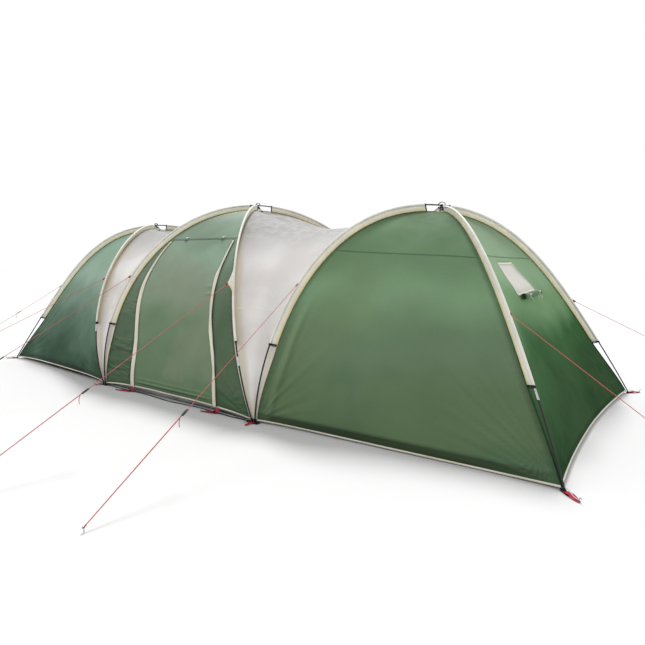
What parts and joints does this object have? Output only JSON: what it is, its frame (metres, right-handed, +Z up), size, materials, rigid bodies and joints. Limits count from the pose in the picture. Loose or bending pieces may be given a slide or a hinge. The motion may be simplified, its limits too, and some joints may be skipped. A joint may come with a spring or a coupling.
{
  "type": "dome tent",
  "caption": "Pitched family tent of domes on crossed bending poles, joined by saddle roofs, with sleeves, a zipped door, end vents, ground sheet, guy lines and pegs.",
  "frame": {"origin": "on the ground, at the centre of the tent's footprint", "axes": "+X along the tent's length, towards the end with the vent that faces right from the door side; +Y away from the door side; +Z up"},
  "size_m": [8.41, 5.067, 1.8814],
  "materials": {
    "pole": "smooth dark fibreglass with satin ferrules",
    "sleeve_fabric": "matt woven polyester",
    "webbing": "woven black webbing",
    "canopy_fabric": "coated woven polyester with a soft sheen",
    "saddle_fabric": "coated woven polyester with a soft sheen",
    "vent_mesh": "fine open mesh",
    "ground_sheet": "woven polyethylene",
    "guy_rope": "braided cord",
    "plastic": "moulded",
    "peg_steel": "zinc plated wire"
  },
  "bodies": {
    "tent": {"left_pole_falling": "pole", "left_pole_rising": "pole", "middle_pole_falling": "pole", "middle_pole_rising": "pole", "right_pole_falling": "pole", "right_pole_rising": "pole", "left_sleeve_falling": "sleeve_fabric", "left_sleeve_rising": "sleeve_fabric", "middle_sleeve_falling": "sleeve_fabric", "middle_sleeve_rising": "sleeve_fabric", "right_sleeve_falling": "sleeve_fabric", "right_sleeve_rising": "sleeve_fabric", "left_crown_tie": "webbing", "middle_crown_tie": "webbing", "right_crown_tie": "webbing", "left_front_corner_anchor": "webbing", "left_rear_corner_anchor": "webbing", "right_front_corner_anchor": "webbing", "right_rear_corner_anchor": "webbing", "front_base_strap": "webbing", "rear_base_strap": "webbing", "left_front_panel": "canopy_fabric", "left_rear_panel": "canopy_fabric", "middle_rear_panel": "canopy_fabric", "right_front_panel": "canopy_fabric", "right_rear_panel": "canopy_fabric", "middle_front_wall": "canopy_fabric", "left_vent_flap_roll": "canopy_fabric", "right_vent_flap_roll": "canopy_fabric", "left_end_panel": "canopy_fabric", "right_end_panel": "canopy_fabric", "left_saddle": "saddle_fabric", "right_saddle": "saddle_fabric", "left_vent_mesh": "vent_mesh", "right_vent_mesh": "vent_mesh", "ground_sheet": "ground_sheet", "guy_left_end_front": "guy_rope", "guy_left_inner_front": "guy_rope", "guy_middle_left_front": "guy_rope", "guy_middle_right_front": "guy_rope", "guy_right_inner_front": "guy_rope", "guy_right_end_front": "guy_rope", "guy_right_end_rear": "guy_rope", "peg_left_end_front": "peg_steel", "peg_left_inner_front": "peg_steel", "peg_middle_left_front": "peg_steel", "peg_middle_right_front": "peg_steel", "peg_right_inner_front": "peg_steel", "peg_right_end_front": "peg_steel", "peg_right_end_rear": "peg_steel"},
    "door": {"door_panel": "canopy_fabric"},
    "zip_slider_left": {"door_zip_slider_left": "plastic"},
    "zip_slider_right": {"door_zip_slider_right": "plastic"},
    "rope_slider_left_end_front": {"guy_slider_left_end_front": "plastic"},
    "rope_slider_left_inner_front": {"guy_slider_left_inner_front": "plastic"},
    "rope_slider_middle_left_front": {"guy_slider_middle_left_front": "plastic"},
    "rope_slider_middle_right_front": {"guy_slider_middle_right_front": "plastic"},
    "rope_slider_right_inner_front": {"guy_slider_right_inner_front": "plastic"},
    "rope_slider_right_end_front": {"guy_slider_right_end_front": "plastic"},
    "rope_slider_right_end_rear": {"guy_slider_right_end_rear": "plastic"}
  },
  "joints": [
    {"name": "door_lift", "type": "hinge", "parent": "tent", "child": "door", "pos_m": [-0.227, -0.84779, 1.46097], "axis": [-0.9997, 0.0239, 0.0098], "range_deg": [0, 100]},
    {"name": "door_zip_left_slide", "type": "slide", "parent": "tent", "child": "zip_slider_left", "axis": [-0.1005, 0.223, 0.9696], "range_m": [0, 0.42]},
    {"name": "door_zip_right_slide", "type": "slide", "parent": "tent", "child": "zip_slider_right", "axis": [-0.2436, 0.1836, 0.9523], "range_m": [0, 0.42]},
    {"name": "guy_slider_left_end_front_slide", "type": "slide", "parent": "tent", "child": "rope_slider_left_end_front", "axis": [0.574, 0.6152, 0.5404], "range_m": [-0.45, 0.45]},
    {"name": "guy_slider_left_inner_front_slide", "type": "slide", "parent": "tent", "child": "rope_slider_left_inner_front", "axis": [0.3887, 0.7981, 0.4604], "range_m": [-0.45, 0.45]},
    {"name": "guy_slider_middle_left_front_slide", "type": "slide", "parent": "tent", "child": "rope_slider_middle_left_front", "axis": [0.0626, 0.8702, 0.4887], "range_m": [-0.45, 0.45]},
    {"name": "guy_slider_middle_right_front_slide", "type": "slide", "parent": "tent", "child": "rope_slider_middle_right_front", "axis": [-0.0696, 0.8987, 0.4329], "range_m": [-0.45, 0.45]},
    {"name": "guy_slider_right_inner_front_slide", "type": "slide", "parent": "tent", "child": "rope_slider_right_inner_front", "axis": [-0.1676, 0.8762, 0.4519], "range_m": [-0.45, 0.45]},
    {"name": "guy_slider_right_end_front_slide", "type": "slide", "parent": "tent", "child": "rope_slider_right_end_front", "axis": [-0.8167, 0.325, 0.4768], "range_m": [-0.45, 0.45]},
    {"name": "guy_slider_right_end_rear_slide", "type": "slide", "parent": "tent", "child": "rope_slider_right_end_rear", "axis": [-0.8217, -0.3498, 0.4499], "range_m": [-0.45, 0.45]}
  ]
}
